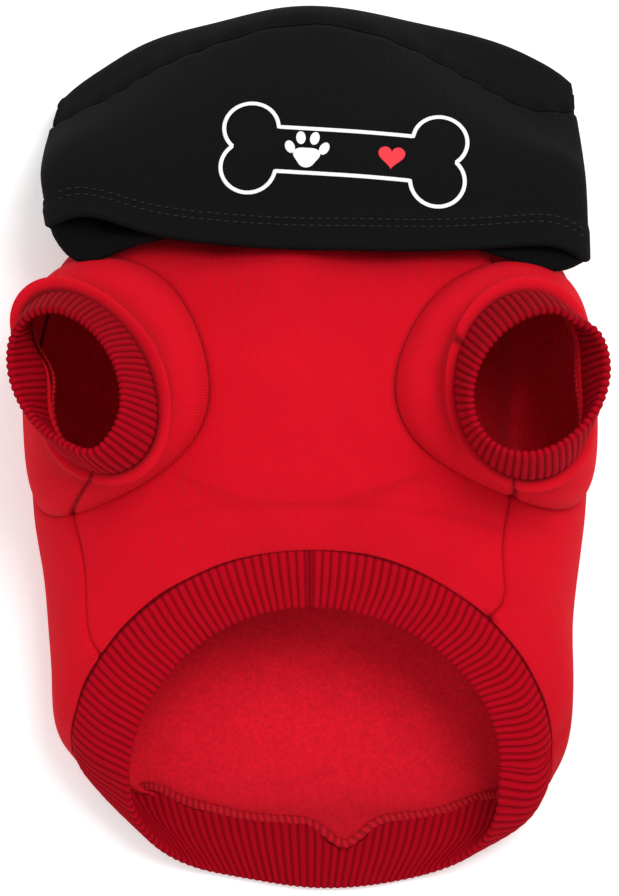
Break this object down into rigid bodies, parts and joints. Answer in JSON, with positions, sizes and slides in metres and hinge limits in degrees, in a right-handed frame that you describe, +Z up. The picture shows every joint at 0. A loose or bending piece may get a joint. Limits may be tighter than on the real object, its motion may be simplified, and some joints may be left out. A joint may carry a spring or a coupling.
{
  "type": "hooded pet jacket",
  "caption": "Hooded fleece jacket for a small dog, lying on its back with two sleeves up, ribbed cuffs and a ribbed waistband.",
  "frame": {"origin": "on the resting surface, under the middle of the jacket's outline", "axes": "+Z up from the surface, +Y from the waistband towards the hood, +X across the jacket"},
  "size_m": [0.2376, 0.3634, 0.1131],
  "materials": {
    "red_fleece": "brushed sweatshirt fleece, matte",
    "dark_red_rib": "1x1 rib knit, matte",
    "black_jersey": "black sweatshirt jersey, matte"
  },
  "bodies": {
    "root": {"belly_panel": "red_fleece", "back_panel": "red_fleece", "sleeve_left": "red_fleece", "sleeve_right": "red_fleece", "cuff_left": "dark_red_rib", "cuff_right": "dark_red_rib", "waistband": "dark_red_rib", "hood_front_panel": "black_jersey", "hood_back_panel": "black_jersey"}
  },
  "joints": []
}
